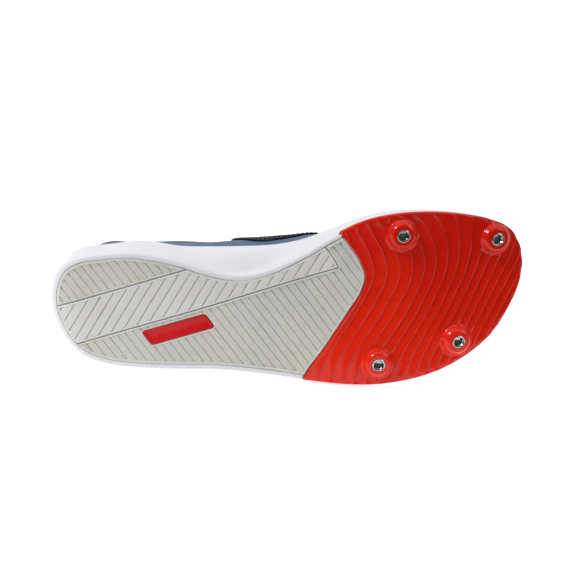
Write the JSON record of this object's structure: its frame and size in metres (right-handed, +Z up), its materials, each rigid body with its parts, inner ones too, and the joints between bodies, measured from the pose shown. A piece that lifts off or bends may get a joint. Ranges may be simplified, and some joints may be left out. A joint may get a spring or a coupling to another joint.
{
  "type": "track spike shoe",
  "caption": "Left track spike shoe lying on its side, white foam sole with a glossy red spike plate, grey rubber pods and a blue mesh upper.",
  "frame": {"origin": "centre of the bounding box at floor level", "axes": "+X from heel to toe, +Y from the sole towards the collar, +Z up from the lateral side that lies on the floor to the medial side"},
  "size_m": [0.2822, 0.096, 0.1078],
  "materials": {
    "white_foam": "matte",
    "grey_rubber": "matte",
    "red_plastic": "gloss",
    "badge_red": "satin",
    "steel": "satin",
    "blue_mesh": "matte",
    "black_overlay": "satin",
    "dark_lining": "matte",
    "black_lace": "matte"
  },
  "bodies": {
    "root": {"midsole": "white_foam", "outsole_heel": "grey_rubber", "outsole_side": "grey_rubber", "badge": "badge_red", "spike_plate": "red_plastic", "socket_1": "steel", "socket_2": "steel", "socket_3": "steel", "socket_4": "steel", "insole": "dark_lining", "upper": "blue_mesh", "eyestay": "black_overlay", "tongue": "dark_lining", "laces": "black_lace"}
  },
  "joints": []
}
